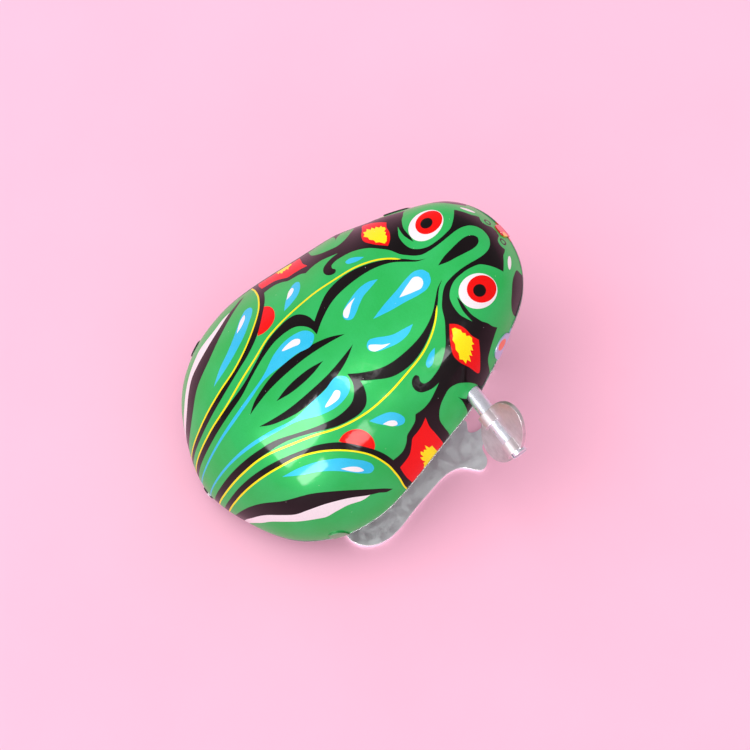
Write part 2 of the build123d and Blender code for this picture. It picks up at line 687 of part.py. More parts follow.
# front legs: a flange under the base plate, a bent arm and a foot turned inwards
ARM_Y = 12.0
FRONT_FLANGE = (55.6, 61.6)
flange_z = -TIN - 2 * SLIDE_GAP
arm_low = [(33.4, 0), (38.4, 0)]
elbow = [(31.6, 14.5), (36.2, 15.5)]
FRONT_FOOT = [
    (33.4, 12.0), (33.6, 9.6), (35.6, 8.4), (37.0, 6.6), (38.6, 6.9), (39.0, 8.4),
    (41.2, 7.6), (42.0, 9.2), (40.4, 10.3), (41.0, 12.0),
]


def front_leg(sign):
    """One front leg; sign is 1 on the frog's left."""
    with BuildPart() as leg:
        with BuildSketch(body.offset(flange_z - LEG_TIN)):
            with Locations((sum(FRONT_FLANGE) / 2, sign * (ARM_Y + EAR_Y) / 2)):
                Rectangle(FRONT_FLANGE[1] - FRONT_FLANGE[0], ARM_Y - EAR_Y)
            with Locations(*plate_rivets_at):
                Circle(RIVET_RADIUS + SLIDE_GAP, mode=Mode.SUBTRACT)
        extrude(amount=LEG_TIN)
        top = [to_row(x, flange_z) for x in FRONT_FLANGE]
        with BuildSketch(Plane.XZ.offset(-sign * (ARM_Y - LEG_TIN / 2 + sign * LEG_TIN / 2))):
            with BuildLine():
                Polyline(top[0], elbow[0], arm_low[0], arm_low[1], elbow[1], top[1], close=True)
            make_face()
        extrude(amount=LEG_TIN)
        with BuildSketch():
            with BuildLine():
                Polyline(*[(x, sign * y) for x, y in FRONT_FOOT], close=True)
            make_face()
        extrude(amount=LEG_TIN)
    return leg.part


for name, sign in (("front_leg_right", -1), ("front_leg_left", 1)):
    leg = front_leg(sign)
    leg.label = name
    export_step(leg, f"parts/{name}.step")
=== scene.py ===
"""Looks of the tin wind-up jumping frog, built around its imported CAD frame.

Blender lengths are metres in the shared frame. A body point is in millimetres: x runs along
the rim from the tail (0) to the nose (75), y to the frog's left and z square to the rim.

The print is drawn in millimetres on a flat layout of the pressed back: u runs from the tail
to the nose and v to the left. Only the frog's right half, where v is negative, is drawn; the
left half mirrors it.
"""

import json
from math import asin, atan2, ceil, copysign, cos, degrees, hypot, pi, radians, sin

import bpy
import numpy as np
from mathutils import Matrix, Vector
from mathutils.geometry import delaunay_2d_cdt


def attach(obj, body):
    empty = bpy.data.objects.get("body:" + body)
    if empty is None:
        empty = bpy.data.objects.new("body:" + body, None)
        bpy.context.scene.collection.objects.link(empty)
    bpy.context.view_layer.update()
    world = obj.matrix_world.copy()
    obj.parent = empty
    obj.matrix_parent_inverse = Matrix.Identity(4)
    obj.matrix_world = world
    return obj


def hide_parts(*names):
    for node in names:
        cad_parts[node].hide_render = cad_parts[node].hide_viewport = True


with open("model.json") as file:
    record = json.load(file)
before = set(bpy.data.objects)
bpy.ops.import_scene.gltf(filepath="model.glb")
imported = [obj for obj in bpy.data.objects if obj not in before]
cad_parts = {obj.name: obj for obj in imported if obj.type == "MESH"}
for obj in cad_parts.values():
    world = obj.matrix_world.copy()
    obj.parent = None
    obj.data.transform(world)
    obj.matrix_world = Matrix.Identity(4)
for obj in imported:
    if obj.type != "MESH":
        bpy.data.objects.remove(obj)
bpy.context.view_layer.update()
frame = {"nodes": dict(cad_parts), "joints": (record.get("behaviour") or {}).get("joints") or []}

# ---- driving values, mm and degrees ------------------------------------------------------

MM = 0.001
BODY_LENGTH = 75.0
MIDDLE_U = BODY_LENGTH / 2
PITCH = radians(27.0)            # nose up
MAIN_AXIS = (52.2, 1.7)          # key shaft, along and square to the rim plane
NOTCH_RADIUS = 1.8               # notch in the back's rim that passes the key shaft
TIN = 0.3                        # sheet thickness
RIM_STEP = 15.0                  # degrees between the rim's radii, from the nose round to the tail
RIM_RADII = [37.5, 35.8, 30.0, 25.8, 23.8, 22.5, 22.8, 24.7, 28.1, 31.7, 34.7, 36.2, 37.5]
CREST_STEP = 15.0                # mm between the crest's heights, from the tail to the nose
CREST_HEIGHTS = [20.0, 22.1, 19.4, 17.6, 16.8, 19.0]
FALL_MEAN = 0.59                 # how squarely the dome falls to its rim; smaller is squarer
FALL_FORE_AFT = -0.109
FALL_SIDES = -0.185

LINE_WIDTH = 0.24                # yellow hairlines
OVERLAP = 0.4                    # how far a shape on the centre line reaches over it
CURVE_STEP = 0.3                 # spacing of points along a printed edge
OVAL_POINTS = 40
NOTCH_POINTS = 24
RIM_POINTS = 160                 # along the right half of the rim
RING_POINTS = 110                # along each ring of points inside the rim
RING_REACHES = (0.985, 0.96, 0.93)
GRID_STEP = 1.0                  # spacing of the points between printed edges
GRID_ROW = 0.87                  # row spacing in steps, for even triangles
GRID_REACH = 0.9                 # share of the rim's radius that the grid fills

# ---- the body's place in the shared frame ------------------------------------------------


def anchor_of(joint_name):
    """Shared-frame point on a joint's axis."""
    return Vector(next(j["pos_m"] for j in frame["joints"] if j["name"] == joint_name))


AHEAD = Vector((cos(PITCH), 0, sin(PITCH)))
LEFT = Vector((0, 1, 0))
UPRIGHT = Vector((-sin(PITCH), 0, cos(PITCH)))
RIM_TAIL = anchor_of("spring_wheel_turn") - (MAIN_AXIS[0] * AHEAD + MAIN_AXIS[1] * UPRIGHT) * MM


def to_row(x, y, z):
    """Shared-frame point, in metres, of a body point."""
    return RIM_TAIL + (x * AHEAD + y * LEFT + z * UPRIGHT) * MM


# ---- the dome ----------------------------------------------------------------------------


def hermite(t):
    """Shares of a cubic's start, end, and slopes at its start and end, at t from 0 to 1."""
    return 2 * t**3 - 3 * t**2 + 1, 3 * t**2 - 2 * t**3, t**3 - 2 * t**2 + t, t**3 - t**2


def smooth(values, step, position):
    """Smooth curve through evenly spaced values."""
    last = len(values) - 1
    cell = min(max(int(position // step), 0), last - 1)
    t = position / step - cell
    start = values[cell]
    end = values[cell + 1]
    leave = (end - values[max(cell - 1, 0)]) / 2
    arrive = (values[min(cell + 2, last)] - start) / 2
    at_start, at_end, off_start, off_end = hermite(t)
    return at_start * start + at_end * end + off_start * leave + off_end * arrive


def rim_radius(angle):
    """Distance from the body's middle to the rim; it runs square across the centre line."""
    mirrored = RIM_RADII[1:2] + RIM_RADII + RIM_RADII[-2:-1]
    return smooth(mirrored, RIM_STEP, abs(degrees(angle)) + RIM_STEP)


def fall_power(angle):
    """Power of the dome's fall from crest to rim, at a bearing from the middle."""
    return FALL_MEAN + FALL_FORE_AFT * cos(angle) + FALL_SIDES * cos(2 * angle)


def dome(u, v, grow=0.0):
    """Body point of a place on the flat layout, on the dome grown outwards."""
    angle = atan2(v, u - MIDDLE_U)
    radius = rim_radius(angle)
    reach = pi / 2 * hypot(u - MIDDLE_U, v) / radius
    drop = cos(reach)
    x = MIDDLE_U + sin(reach) * (radius + grow) * cos(angle)
    y = sin(reach) * (radius + grow) * sin(angle)
    crest = smooth(CREST_HEIGHTS, CREST_STEP, min(max(x, 0), BODY_LENGTH)) + grow
    return x, y, crest * copysign(abs(drop) ** (2 * fall_power(angle)), drop)


def dome_normal(u, v):
    """Shared-frame outward normal of the dome at a place on the flat layout."""
    step = 0.05
    along = to_row(*dome(u + step, v)) - to_row(*dome(u - step, v))
    across = to_row(*dome(u, v + step)) - to_row(*dome(u, v - step))
    return along.cross(across).normalized()


def rim_place(angle, reach=1.0):
    """Layout point at a bearing from the middle, at a share of the rim's radius."""
    radius = rim_radius(angle) * reach
    return MIDDLE_U + radius * cos(angle), radius * sin(angle)


WALL_SEARCH = 30.0               # mm aside, beyond the widest place of the rim
WALL_HALVINGS = 40


def wall_place(x, z):
    """Layout point on the frog's right side at a body x and height."""
    inner, outer = 0.0, WALL_SEARCH
    for _ in range(WALL_HALVINGS):
        across = (inner + outer) / 2
        angle = atan2(-across, x - MIDDLE_U)
        share = min(hypot(x - MIDDLE_U, across) / rim_radius(angle), 1.0)
        crest = smooth(CREST_HEIGHTS, CREST_STEP, x)
        if crest * (1 - share * share) ** fall_power(angle) > z:
            inner = across
        else:
            outer = across
    return rim_place(angle, 2 / pi * asin(share))


# ---- outlines of the print ---------------------------------------------------------------


def curve(*points):
    """Smooth run through points, sampled closely."""
    places = [Vector(point) for point in points]
    count = len(places)
    gaps = [(places[i + 1] - places[i]).length for i in range(count - 1)]
    slopes = []
    for i in range(count):
        if i == 0:
            slopes.append((places[1] - places[0]) / gaps[0])
        elif i == count - 1:
            slopes.append((places[i] - places[i - 1]) / gaps[-1])
        else:
            before = (places[i] - places[i - 1]) / gaps[i - 1]
            after = (places[i + 1] - places[i]) / gaps[i]
            slopes.append((before * gaps[i] + after * gaps[i - 1]) / (gaps[i] + gaps[i - 1]))
    run = []
    for i in range(count - 1):
        steps = max(2, ceil(gaps[i] / CURVE_STEP))
        for k in range(steps):
            at_start, at_end, off_start, off_end = hermite(k / steps)
            rise = at_start * places[i] + at_end * places[i + 1]
            lean = off_start * slopes[i] + off_end * slopes[i + 1]
            run.append(tuple(rise + lean * gaps[i]))
    run.append(tuple(places[-1]))
    return run


def ring(*points):
    """Smooth closed outline through points."""
    laps = curve(*points[-2:], *points, *points[:2])
    first = laps.index(tuple(Vector(points[0])))
    last = len(laps) - 1 - laps[::-1].index(tuple(Vector(points[0])))
    return laps[first:last]


def oval(centre, length, height, tilt=0.0):
    """Ellipse outline, with half sizes and a tilt in degrees."""
    turn = Matrix.Rotation(radians(tilt), 2)
    middle = Vector(centre)
    angles = [2 * pi * k / OVAL_POINTS for k in range(OVAL_POINTS)]
    return [tuple(middle + turn @ Vector((length * cos(a), height * sin(a)))) for a in angles]


RIBBON_TAPER = 2.5               # points over which a ribbon narrows to its end


def ribbon(path, width):
    """Outline of a line of even width that ends in points."""
    places = [Vector(point) for point in path]
    last = len(places) - 1
    edges = ([], [])
    for i, place in enumerate(places):
        ahead = places[min(i + 1, last)] - places[max(i - 1, 0)]
        aside = Vector((-ahead.y, ahead.x)).normalized() * width / 2
        taper = min(1.0, min(i, last - i) / RIBBON_TAPER)
        edges[0].append(tuple(place + aside * taper))
        edges[1].append(tuple(place - aside * taper))
    return edges[0] + edges[1][::-1][1:-1]


def across_axis(run):
    """Closes a run that starts and ends on the centre line just beyond that line."""
    return run + [(run[-1][0], OVERLAP), (run[0][0], OVERLAP)]


def thigh_line():
    """Black line round the thigh, from the tail over its front to the rim."""
    front = curve(
        (-1, -4.1), (5, -4.2), (12, -4.25), (18, -4.35), (22, -4.7), (25.1, -5.2), (28.9, -6.2),
        (31.4, -7.15), (33.1, -8.4), (34.4, -10.6), (35.1, -12.9), (35.05, -14.8), (34.7, -16.5),
        (33.3, -19.5), (32, -23.8), (31.8, -26),
    )
    return front + thigh_edge()[::-1]


def thigh_edge():
    """Inner edge of the thigh line, which the yellow hairline follows."""
    return curve(
        (-1, -4.75), (5, -5.1), (12, -5.1), (18, -5.25), (22, -5.6), (25.1, -6.05), (28.9, -6.9),
        (31.4, -8.3), (33.3, -10.4), (33.95, -11.8), (34.1, -14.6), (33.3, -17.4), (31.5, -21.4),
        (30.6, -24), (30.2, -26),
    )


def back_line():
    """Black line down the back, with its lobe and the swash towards the head."""
    swash = curve(
        (39.5, -2.95), (40.7, -3.8), (43.3, -5.05), (46.5, -5.4), (50, -5.0), (52.3, -4.1),
        (54.0, -2.95), (55.1, -2.2), (56.6, -1.7),
    ) + curve(
        (56.6, -1.7), (55.5, -2.2), (53.7, -3.7), (51, -5.5), (48.7, -6.5), (45.9, -7.0),
        (43.3, -6.6), (41.1, -5.25), (40.1, -4.5),
    )
    lobe_outside = curve(
        (40.1, -4.5), (39.85, -5.4), (39.3, -6.3), (38.5, -7.0), (37.25, -7.3), (35.9, -7.15),
        (34.5, -6.8), (31.7, -5.5), (28.9, -4.4), (25.1, -3.8), (20, -3.36), (12, -3.1), (-1, -2.95),
    )
    lobe_inside = curve(
        (-1, -2.1), (12, -2.2), (20, -2.44), (25.1, -2.95), (27.7, -3.4), (30.1, -4.3),
        (33.1, -5.4), (35.2, -5.9), (36.6, -5.9), (37.6, -5.7), (38.6, -5.0), (39.3, -4.0),
        (39.5, -2.95),
    )
    return swash + lobe_outside + lobe_inside


def back_hairline():
    """Yellow hairline outside the back line."""
    return ribbon(
        curve(
            (-1, -3.1), (12, -3.25), (20, -3.5), (25, -3.95), (28.9, -5.0), (31.7, -5.9),
            (34.5, -7.05), (37.6, -7.7), (41.1, -7.8), (44.5, -7.5), (48.9, -6.7), (51, -5.75),
            (52.1, -5.0), (53.6, -3.7),
        ),
        LINE_WIDTH,
    )


def leaf():
    """Black leaf beside the centre line."""
    return curve(
        (27.2, -0.9), (28.9, -1.25), (31, -1.57), (34.65, -1.7), (37.6, -1.57), (40, -1.22),
        (42.2, -0.77),
    ) + curve(
        (42.2, -0.77), (40.7, -1.6), (38.5, -2.33), (36.2, -2.67), (34.1, -2.78), (32.05, -2.64),
        (30.1, -2.2), (28.6, -1.7), (27.2, -0.9),
    )


def mask():
    """Black of the cheeks, brow and shoulder, down to the rim."""
    flank = curve(
        (34.3, -14.9), (36.9, -14.9), (38.1, -14.25), (39, -13.5), (40, -13.2), (41.1, -12.8),
        (41.9, -12.1),
    ) + curve((41.9, -12.1), (43.1, -12.3), (44.5, -12.2), (46.1, -11.7), (47.3, -11.25))
    hook = curve(
        (47.3, -11.25), (46.3, -11.2), (45.3, -10.9), (44.5, -10.4), (44.2, -9.7), (44.4, -8.9),
        (45.0, -8.4), (45.6, -8.35), (45.8, -8.75), (45.5, -9.3), (45.6, -9.8), (46.3, -10.1),
        (47.4, -10.05), (48.9, -9.7), (50.4, -8.9), (51.4, -8.1), (52.3, -7.0), (53.2, -5.8),
        (54.0, -4.3), (54.7, -3.6), (55.5, -2.95), (56.4, -2.5), (57.7, -2.3), (59.8, -2.25),
        (62.1, -2.4), (64.3, -2.6), (66.2, -2.6), (67.9, -2.3), (69.2, -1.6), (69.9, -0.7), (70, 0),
    )
    snout = curve((73.5, 0), (73.2, -1.0), (72.4, -1.4), (71.7, -2.0), (71.6, -2.6), (72.2, -3.6))
    brow = curve(
        (72.2, -3.6), (71.5, -4.0), (70.7, -4.3), (69.6, -5.2), (68.7, -5.9), (68.0, -6.4),
    ) + curve(
        (68.0, -6.4), (66.6, -5.2), (64.9, -4.0), (63.8, -3.4), (62.3, -3.05), (59.9, -2.8),
        (57.7, -2.95), (56.6, -3.4), (55.8, -4.1), (55.5, -5.0), (55.5, -5.8), (55.7, -6.7),
        (56.2, -7.5), (56.9, -8.45),
    )
    lid = curve((56.9, -8.45), (56.6, -7.5), (56.4, -6.5), (56.5, -5.6), (56.8, -4.65)) + curve(
        (56.8, -4.65), (57.0, -5.4), (57.1, -6.5), (57.3, -7.5), (57.9, -8.6), (58.5, -9.45),
        (59.4, -10.3), (60.2, -11.3), (61.2, -12.1),
    )
    cheek = curve((61.2, -12.1), (59.4, -13.0), (58, -13.8), (56.8, -14.8), (56.5, -18))
    over_centre = [(70, OVERLAP), (73.5, OVERLAP)]
    below_rim = [(45, -28), (31, -28), (32.4, -22), (34.3, -16.5)]
    return flank + hook + over_centre + snout + brow + lid + cheek + below_rim


def red_panel():
    """Red panel on the flank, between the thigh and the shoulder."""
    top = curve(
        (34.5, -16.8), (36.9, -16.2), (38.3, -15.1), (39, -14.5), (40.2, -14.3), (41.4, -14.0),
        (42.5, -13.5),
    )
    front = curve((42.5, -13.5), (41.9, -15.1), (41.7, -16.9), (41.5, -18.9), (41.4, -20.5), (41, -27))
    rear = curve((31, -27), (32.05, -23.8), (32.75, -21.7), (33.4, -19.5), (34.1, -17.7), (34.5, -16.8))
    return top + front + rear


def flank_flame():
    """Jagged yellow flame in the red panel."""
    return [
        (35.2, -27), (35.6, -23.1), (36, -21.7), (36.4, -21.2), (36.6, -20.3), (37.0, -20.6),
        (37.0, -19.4), (37.25, -18.4), (37.6, -18.9), (37.75, -17.9), (38.1, -17.4), (38.25, -18.1),
        (38.6, -17.7), (38.8, -18.2), (39.25, -17.1), (39.3, -18.3), (39.85, -18.5), (39.7, -19.8),
        (39.6, -22.7), (39.4, -27),
    ]


def shoulder():
    """Green shoulder in the black mask."""
    return curve(
        (43.2, -26), (43.3, -19.5), (43.4, -17.2), (43.7, -15.6), (44.4, -14.6), (45.4, -13.8),
        (46.6, -13.3), (47.8, -13.0), (49.3, -13.4), (50.6, -14.4), (51.7, -15.6), (52.5, -16.9),
        (53, -18.5), (53.4, -26),
    )


def thorn():
    """Black thorn that rises through the shoulder from the rim."""
    return curve((48.2, -15.1), (48.7, -16.1), (49.5, -17.1), (50, -18), (50.5, -26)) + curve(
        (48.5, -26), (48.4, -18), (48.4, -16.1), (48.2, -15.1),
    )


def cheek_flame():
    """Red lozenge behind the eye."""
    return curve((53.5, -6.5), (54.2, -7.0), (55.3, -8.6), (55.6, -9.7), (56.45, -11.1)) + curve(
        (56.45, -11.1), (55.2, -13.4), (53.8, -15.3), (52.5, -12.9), (51.7, -11.4), (51.4, -10.1),
        (52.1, -8.4), (53.5, -6.5),
    )


def cheek_flame_core():
    """Jagged yellow flame in the red lozenge."""
    return [
        (53.4, -7.2), (53.9, -7.35), (54.3, -7.9), (54.5, -8.1), (54.5, -8.6), (54.9, -8.9),
        (54.8, -9.3), (55.3, -9.6), (55.5, -10.1), (55.2, -10.5), (55.3, -11.0), (54.8, -10.8),
        (54.6, -11.6), (54.2, -11.2), (54.0, -12.1), (53.6, -11.6), (53.3, -12.6), (52.9, -11.9),
        (52.4, -12.2), (52.3, -11.4), (51.9, -11.0), (52.3, -10.3), (52.2, -9.6), (52.6, -9.0),
        (52.6, -8.3), (53.0, -8.0),
    ]


def stripe_edge():
    """Upper edge of the black stripe along the thigh."""
    return curve(
        (-1, -5.8), (5, -6.2), (9, -6.4), (12, -6.65), (15, -7.1), (18, -8.0), (21, -9.5),
        (25.5, -11.5), (27.9, -13.6), (29.8, -16.2), (30.6, -17.9), (30.85, -19.2),
    )


def stripe():
    """Black stripe along the thigh."""
    return stripe_edge() + curve(
        (30.85, -19.2), (30.1, -18.8), (29.6, -17.7), (28.9, -16.95), (27.2, -15.1), (24.9, -13.7),
        (22, -12.7), (20, -12.1), (18, -10.8), (16, -9.6), (14, -8.9), (12, -8.5), (9, -8.05),
        (5, -8.0), (-1, -8.2),
    )


def white_stripe():
    """White stripe below the black one, which covers its upper edge."""
    return curve((-1, -7.0), (9, -7.0), (18, -9.5), (26, -13.8), (28.95, -16.9)) + curve(
        (28.95, -16.9), (27.7, -16.8), (26, -15.9), (24, -15.5), (22, -15.2), (21, -14.6),
        (19, -13.4), (17, -12.0), (15, -10.8), (12, -9.9), (10, -9.3), (8, -8.95), (5, -8.9), (0, -9.6),
    )


def thigh_shapes():
    spot = curve(
        (33.1, -8.2), (34, -7.95), (34.9, -8.05), (35.75, -8.6), (36.1, -9.6), (35.95, -10.6),
        (35.4, -11.5), (34.6, -12.1),
    )
    return [
        ("red", spot),
        ("white", white_stripe()),
        ("black", stripe()),
        ("black", thigh_line()),
        ("yellow", ribbon(thigh_edge(), LINE_WIDTH)),
    ]


def back_shapes():
    dash = curve((31.0, 0), (32.8, -0.36), (34.65, -0.47), (36.5, -0.36), (38.3, 0))
    band = curve(
        (-1, -1.05), (10, -1.05), (15, -1.1), (20, -1.3), (25, -1.7), (28, -2.2), (31.7, -2.95),
        (34, -2.8), (36.2, -2.72), (38.5, -2.45), (39.2, -3.2), (38.9, -4.0), (38.3, -4.55),
        (37.25, -4.9), (35.9, -5.0), (34.1, -4.6), (31.7, -3.5), (28, -2.65), (25, -2.15),
        (20, -1.62), (15, -1.38), (-1, -1.3),
    )
    band_glint = ring(
        (35.0, -4.25), (36.4, -3.7), (37.25, -3.5), (37.5, -3.85), (37.1, -4.3), (35.9, -4.45),
    )
    return [
        ("black", back_line()),
        ("yellow", back_hairline()),
        ("black", leaf()),
        ("black", across_axis(dash)),
        ("cyan", band),
        ("white", band_glint),
    ]


def drops():
    """Cyan drops on the neck, flank and thigh, most of them with a white glint."""
    middle = curve(
        (45.9, 0), (48, -0.5), (50.4, -0.9), (52.5, -1.3), (54, -1.35), (55.1, -0.8), (55.5, 0),
    )
    middle_glint = curve((50.1, 0), (52.1, -0.6), (53.4, -0.8), (54, -0.4), (54.15, 0))
    neck = curve(
        (49.4, -3.5), (48, -3.2), (46.6, -2.9), (45.6, -2.4), (44.7, -1.86), (43.9, -1.6),
        (43.3, -2.0), (43.2, -2.5), (43.5, -2.9), (45.3, -3.75), (46.8, -4.1), (48.3, -4.0),
        (49.4, -3.5),
    )
    neck_glint = curve(
        (45.75, -3.5), (44.9, -3.05), (44, -2.3), (43.55, -2.05), (43.3, -2.4), (43.5, -2.9),
        (44.4, -3.3), (45.75, -3.5),
    )
    flank = curve(
        (37.3, -8.7), (38.6, -9.0), (39.9, -9.6), (40.5, -10.6), (40.5, -11.5), (40, -11.9),
        (39.3, -11.7), (38.5, -10.8), (37.8, -9.75), (37.3, -8.7),
    )
    flank_glint = curve(
        (38.1, -10.1), (39, -10.35), (39.5, -11.0), (39.3, -11.4), (38.9, -11.3), (38.1, -10.1),
    )
    hook = curve(
        (49.9, -7.45), (49.1, -7.5), (48.2, -7.8), (47.5, -8.3), (47.45, -8.75), (48.0, -8.85),
        (48.9, -8.4), (49.9, -7.45),
    )
    thigh = curve(
        (24.5, -7.2), (27.5, -7.8), (30.1, -8.9), (31.7, -10.1), (32.4, -11.1), (33, -12.3),
        (33.1, -13.2), (32.6, -14.0), (32, -14.1), (31.4, -13.4), (30.5, -11.8), (29.6, -10.6),
        (28.6, -9.7), (26.5, -8.5), (24.5, -7.2),
    )
    thigh_glint = curve(
        (30.4, -11.0), (31.4, -11.65), (31.9, -12.5), (31.8, -13.2), (31.4, -12.95),
        (30.9, -12.2), (30.4, -11.0),
    )
    return [
        ("cyan", across_axis(middle)),
        ("white", across_axis(middle_glint)),
        ("cyan", neck),
        ("white", neck_glint),
        ("cyan", flank),
        ("white", flank_glint),
        ("cyan", hook),
        ("cyan", thigh),
        ("white", thigh_glint),
    ]


def cheek_shapes():
    return [
        ("black", mask()),
        ("red", red_panel()),
        ("yellow", flank_flame()),
        ("green", shoulder()),
        ("black", thorn()),
        ("red", cheek_flame()),
        ("yellow", cheek_flame_core()),
    ]


def face_shapes():
    eye = (60.9, -6.1)
    eye_tilt = -17
    nostril = (73.2, -2.2)
    bridge = curve(
        (57.4, 0), (58.9, -0.4), (61.1, -0.7), (63.2, -0.95), (64.7, -1.05), (66.2, -0.85),
        (67.0, -0.45), (67.3, 0),
    )
    jowl = ring(
        (72.4, -7.5), (70.7, -7.85), (69.0, -8.7), (67.7, -9.9), (66.8, -10.9), (66.4, -12.0),
        (67.0, -13.4), (69.5, -12.3), (71.5, -10.4), (72.7, -8.6),
    )
    return [
        ("black", across_axis(bridge)),
        ("white", oval(eye, 3.95, 2.35, eye_tilt)),
        ("red", oval((61.6, -6.2), 3.1, 1.85, eye_tilt)),
        ("black", oval(eye, 1.3, 0.85, eye_tilt)),
        ("white", oval((71.2, -5.8), 1.5, 0.45, 36)),
        ("black", jowl),
        ("green", oval(nostril, 1.0, 1.0)),
        ("black", oval(nostril, 0.74, 0.74)),
        ("green", oval(nostril, 0.42, 0.42)),
    ]


def painted_shapes():
    """Ink and outline of every printed shape of the right half, from the bottom layer up."""
    return thigh_shapes() + back_shapes() + drops() + cheek_shapes() + face_shapes()


# ---- materials ---------------------------------------------------------------------------


def linear(red, green, blue):
    """Scene colour of an 8-bit display colour."""
    shares = [level / 255 for level in (red, green, blue)]
    return tuple(s / 12.92 if s < 0.04045 else ((s + 0.055) / 1.055) ** 2.4 for s in shares) + (1,)


def darker(tone, share):
    """A scene colour at a share of its brightness."""
    return tuple(level * share for level in tone[:3]) + (1,)


# near-white for convex edges: tin bared by wear, and a painted highlight
EDGE_WEAR_AND_HIGHLIGHT = linear(250, 250, 248)
EDGE_RADIUS = 0.12               # mm, rounding of cut edges, and the width of their wear and painted highlight


class Shader:
    """A node material whose textures are placed in millimetres of the shared frame."""

    def __init__(self, name):
        self.material = bpy.data.materials.new(name)
        self.material.use_nodes = True
        self.tree = self.material.node_tree
        self.surface = self.tree.nodes["Principled BSDF"]
        place = self.tree.nodes.new("ShaderNodeTexCoord").outputs["Object"]
        scale = {0: place, 1: (1000, 1000, 1000)}
        self.place = self.make("ShaderNodeVectorMath", {"operation": "MULTIPLY"}, scale).outputs[0]

    def make(self, kind, settings, inputs):
        """Adds a node; an input is a value or another node's output."""
        node = self.tree.nodes.new(kind)
        for key, value in settings.items():
            setattr(node, key, value)
        for key, value in inputs.items():
            self.put(node.inputs[key], value)
        return node

    def put(self, socket, value):
        if isinstance(value, bpy.types.NodeSocket):
            self.tree.links.new(value, socket)
        else:
            socket.default_value = value

    def finish(self, **inputs):
        """Sets the surface's inputs; an underscore in a name stands for a space."""
        for key, value in inputs.items():
            self.put(self.surface.inputs[key.replace("_", " ")], value)

    def stretched(self, *factors):
        inputs = {0: self.place, 1: factors}
        return self.make("ShaderNodeVectorMath", {"operation": "MULTIPLY"}, inputs).outputs[0]

    def noise(self, per_mm, detail=3.0, place=None):
        inputs = {"Vector": place or self.place, "Scale": per_mm, "Detail": detail}
        return self.make("ShaderNodeTexNoise", {}, inputs).outputs[0]

    def cells(self, per_mm, randomness=1.0, output="Distance"):
        inputs = {"Vector": self.place, "Scale": per_mm, "Randomness": randomness}
        return self.make("ShaderNodeTexVoronoi", {}, inputs).outputs[output]

    def span(self, value, low, high, out_low=0.0, out_high=1.0):
        """Maps low..high to out_low..out_high and clamps."""
        inputs = {0: value, 1: low, 2: high, 3: out_low, 4: out_high}
        return self.make("ShaderNodeMapRange", {}, inputs).outputs[0]

    def maths(self, operation, first, second=0.0):
        return self.make("ShaderNodeMath", {"operation": operation}, {0: first, 1: second}).outputs[0]

    def mix(self, share, first, second):
        """Mixed colour; a mix node has its colours at inputs 6 and 7 and its result at output 2."""
        colours = {0: share, 6: first, 7: second}
        return self.make("ShaderNodeMix", {"data_type": "RGBA"}, colours).outputs[2]

    def bump(self, height, depth_mm, strength=1.0, under=None):
        inputs = {"Height": height, "Distance": depth_mm * MM, "Strength": strength}
        if under:
            inputs["Normal"] = under
        return self.make("ShaderNodeBump", {}, inputs).outputs[0]

    def rounded(self, radius_mm):
        """Surface normal that turns smoothly over an edge."""
        return self.make("ShaderNodeBevel", {"samples": 4}, {"Radius": radius_mm * MM}).outputs[0]

    def edge_light(self, radius_mm):
        """1 on a convex edge, 0 on a flat."""
        soft = self.rounded(radius_mm)
        true = self.tree.nodes.new("ShaderNodeNewGeometry").outputs["Normal"]
        match = self.make("ShaderNodeVectorMath", {"operation": "DOT_PRODUCT"}, {0: soft, 1: true})
        return self.span(match.outputs["Value"], 0.97, 0.80)


def ink(name, colour, tint):
    """Lithographed ink under a stoving lacquer, over tinplate."""
    shader = Shader("ink_" + name)
    cloud = shader.span(shader.noise(0.16), 0.35, 0.65)
    grain = shader.span(shader.noise(7.0, 1.0), 0.3, 0.7)
    screen = shader.span(shader.cells(4.5, 0.15), 0.1, 0.6)
    tone = shader.mix(shader.maths("MULTIPLY", cloud, 0.45), colour, tint)
    tone = shader.mix(shader.maths("MULTIPLY", screen, 0.16), tone, tint)
    tone = shader.mix(shader.maths("MULTIPLY", grain, 0.10), tone, (0, 0, 0, 1))
    dust = shader.span(shader.cells(0.42), 0.030, 0.018)
    tone = shader.mix(shader.maths("MULTIPLY", dust, 0.55), tone, linear(238, 238, 232))
    dents = shader.bump(shader.noise(0.11, 1.0), 0.10)
    peel = shader.bump(shader.noise(2.2, 2.0), 0.0016, under=dents)
    shader.finish(
        Base_Color=tone,
        Metallic=0.08,
        Specular_IOR_Level=0.05,
        Roughness=shader.span(grain, 0.0, 1.0, 0.32, 0.42),
        Coat_Weight=0.36,
        Coat_Roughness=shader.span(shader.noise(1.3, 5.0), 0.38, 0.64, 0.03, 0.13),
        Coat_IOR=1.42,
        Normal=peel,
        Coat_Normal=peel,
    )
    return shader.material


INK_COLOURS = {
    "green": (linear(40, 182, 84), linear(58, 196, 110)),
    "black": (linear(8, 2, 4), linear(22, 8, 14)),
    "red": (linear(240, 0, 0), linear(246, 14, 4)),
    "yellow": (linear(254, 238, 2), linear(255, 244, 40)),
    "cyan": (linear(40, 192, 236), linear(80, 210, 244)),
    "white": (linear(242, 238, 242), linear(252, 248, 250)),
}


